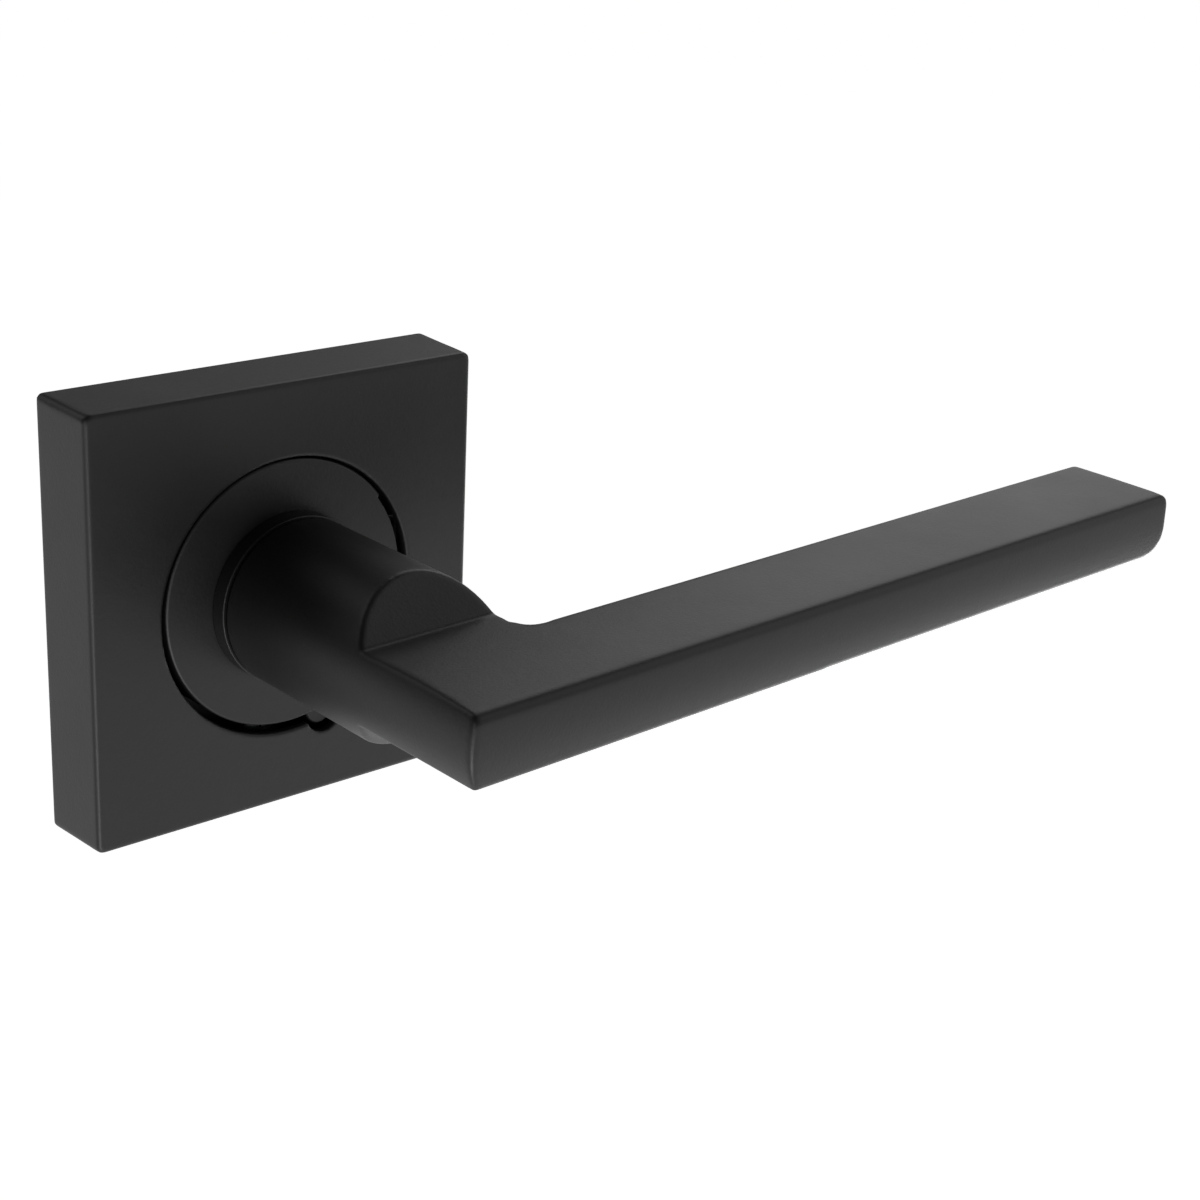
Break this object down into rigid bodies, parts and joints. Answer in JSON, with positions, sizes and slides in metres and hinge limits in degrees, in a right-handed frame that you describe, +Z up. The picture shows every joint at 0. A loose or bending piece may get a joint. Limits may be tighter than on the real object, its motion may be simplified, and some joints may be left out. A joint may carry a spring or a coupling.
{
  "type": "door lever handle",
  "caption": "Square-rose door lever handle with a flat straight lever, a slide-off cover, a sprung cassette and a square spindle.",
  "frame": {"origin": "the spindle's axis where it crosses the door's face", "axes": "+X along the lever from the spindle to its tip, +Y into the door along the spindle, +Z up"},
  "size_m": [0.1322, 0.0973, 0.0526],
  "materials": {
    "black_coat": "matt black powder coat with a fine grain, slightly paler on worn edges",
    "black_casting": "matt black coat over a die casting, fine pitted grain",
    "black_nylon": "moulded glass-filled nylon, low sheen",
    "zinc_plated": "bright zinc plating, faint spangle and handling marks",
    "spring_steel": "drawn or rolled spring steel, lightly oiled",
    "dark_steel": "phosphated dark steel"
  },
  "bodies": {
    "rose_mount": {"mounting_plate": "black_casting", "front_bush": "black_nylon", "back_plate": "zinc_plated", "rivet_top": "zinc_plated", "rivet_bottom": "zinc_plated", "stop_pin_top": "dark_steel", "stop_pin_bottom": "dark_steel", "cover_clip_left": "spring_steel", "cover_clip_right": "spring_steel", "return_spring": "spring_steel", "wood_screw_upper_left": "zinc_plated", "wood_screw_upper_right": "zinc_plated", "wood_screw_lower_left": "zinc_plated", "wood_screw_lower_right": "zinc_plated"},
    "lever_arm": {"lever": "black_coat", "spindle": "zinc_plated", "grub_screw": "dark_steel", "spring_driver": "zinc_plated", "wave_washer": "spring_steel", "circlip": "dark_steel"},
    "cover": {"rose_cover": "black_coat"}
  },
  "joints": [
    {"name": "lever_turn", "type": "hinge", "parent": "rose_mount", "child": "lever_arm", "pos_m": [0, 0, 0], "axis": [0, 1, 0], "range_deg": [0, 50], "stiffness_Nm_per_rad": 0.8, "springref_deg": -28.65, "deforming": ["return_spring"]},
    {"name": "cover_slide", "type": "slide", "parent": "rose_mount", "child": "cover", "axis": [0, -1, 0], "range_m": [0, 0.03]}
  ]
}
